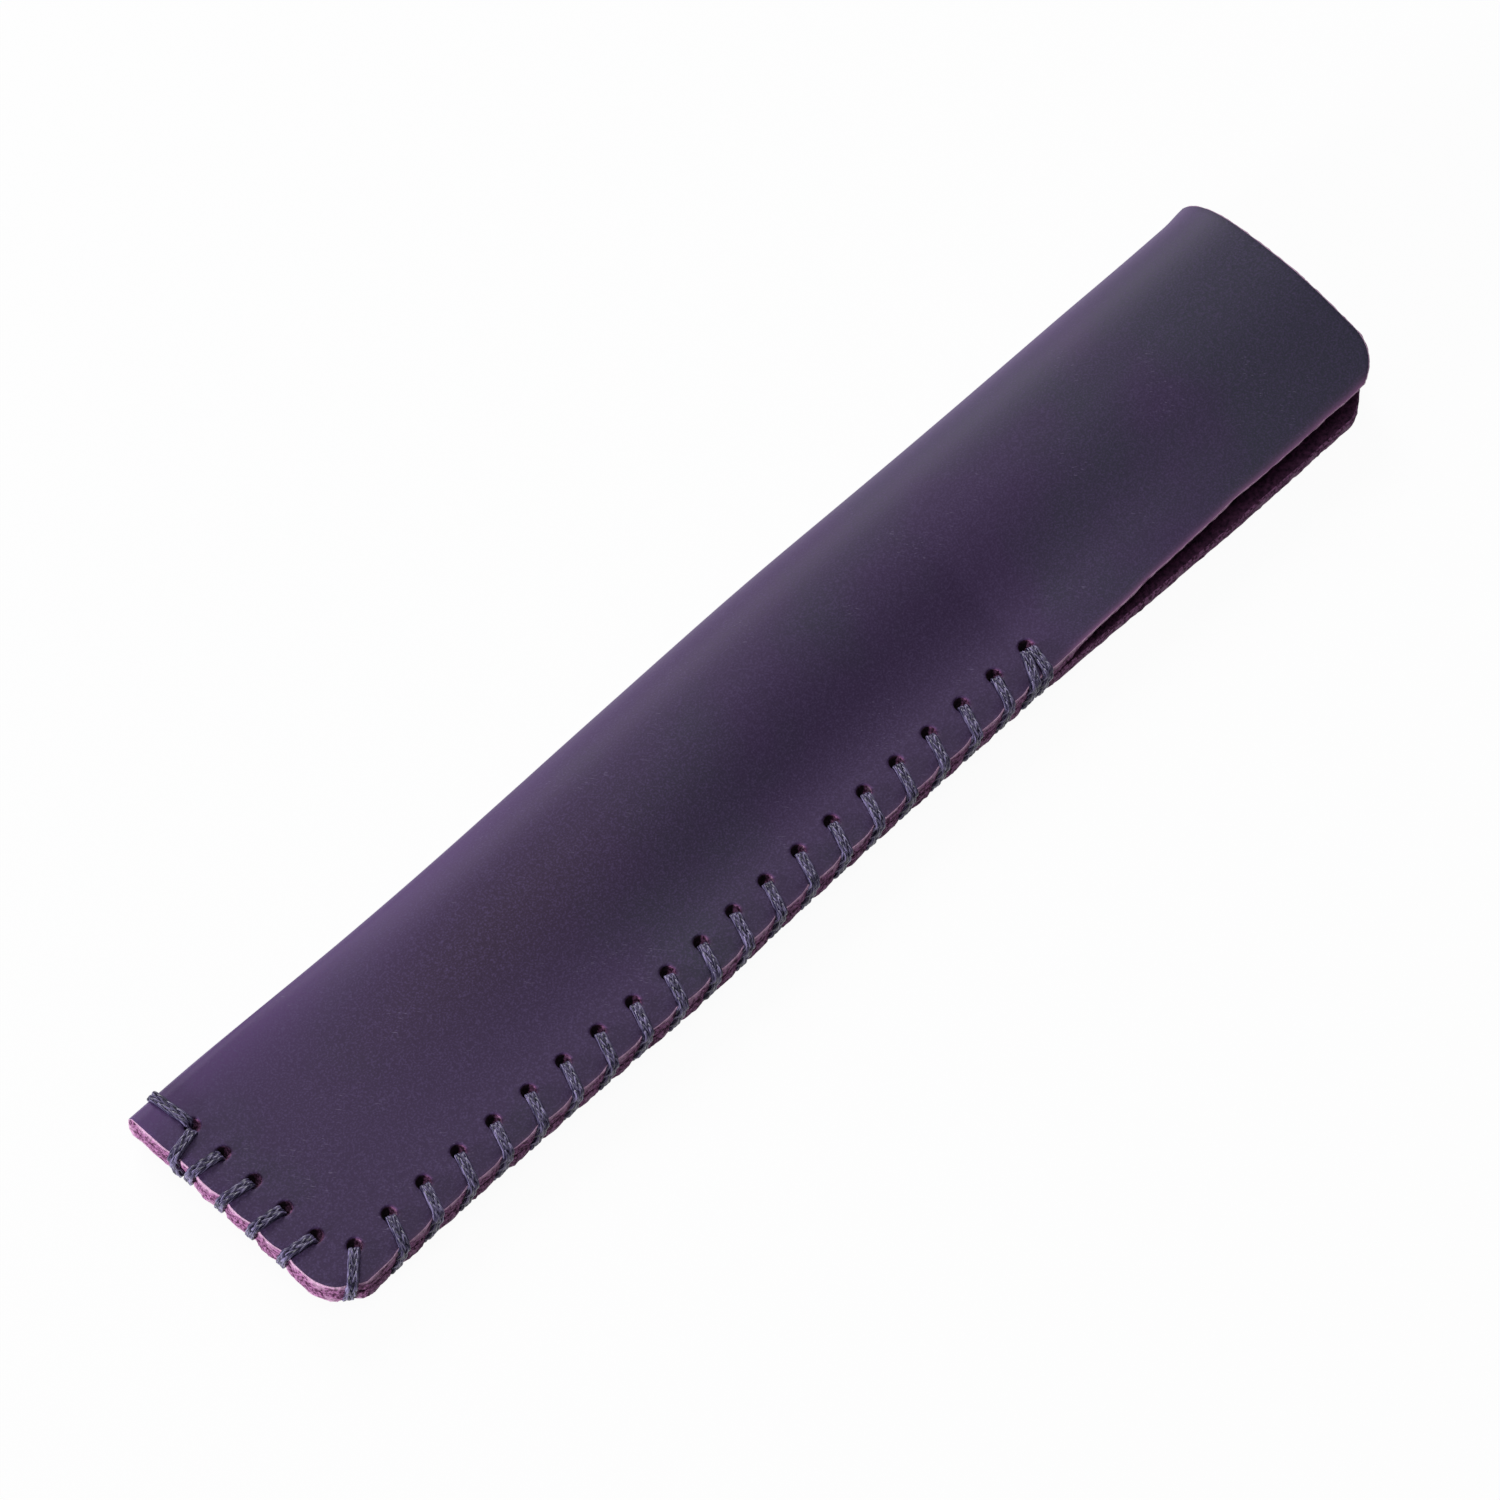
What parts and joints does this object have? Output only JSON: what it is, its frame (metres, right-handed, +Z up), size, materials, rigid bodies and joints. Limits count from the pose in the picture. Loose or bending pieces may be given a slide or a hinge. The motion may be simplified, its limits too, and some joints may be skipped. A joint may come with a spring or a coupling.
{
  "type": "pen sleeve",
  "caption": "Slim folded leather pen sleeve, whip-stitched across its closed end and along part of its free side, open at the mouth so that a pen slides in lengthwise.",
  "frame": {"origin": "on the table, in the flat back face, under the middle of the folded sheet", "axes": "+X along the sleeve to the open mouth, +Y across it to the fold, +Z up from the back panel to the front panel"},
  "size_m": [0.1609, 0.0336, 0.0085],
  "materials": {
    "waxed_leather": "matte, waxed, dyed deep aubergine, with raw magenta cut edges",
    "waxed_thread": "flat braid, waxed, charcoal"
  },
  "bodies": {
    "root": {"folded_leather": "waxed_leather", "whip_stitch_thread": "waxed_thread"}
  },
  "joints": []
}
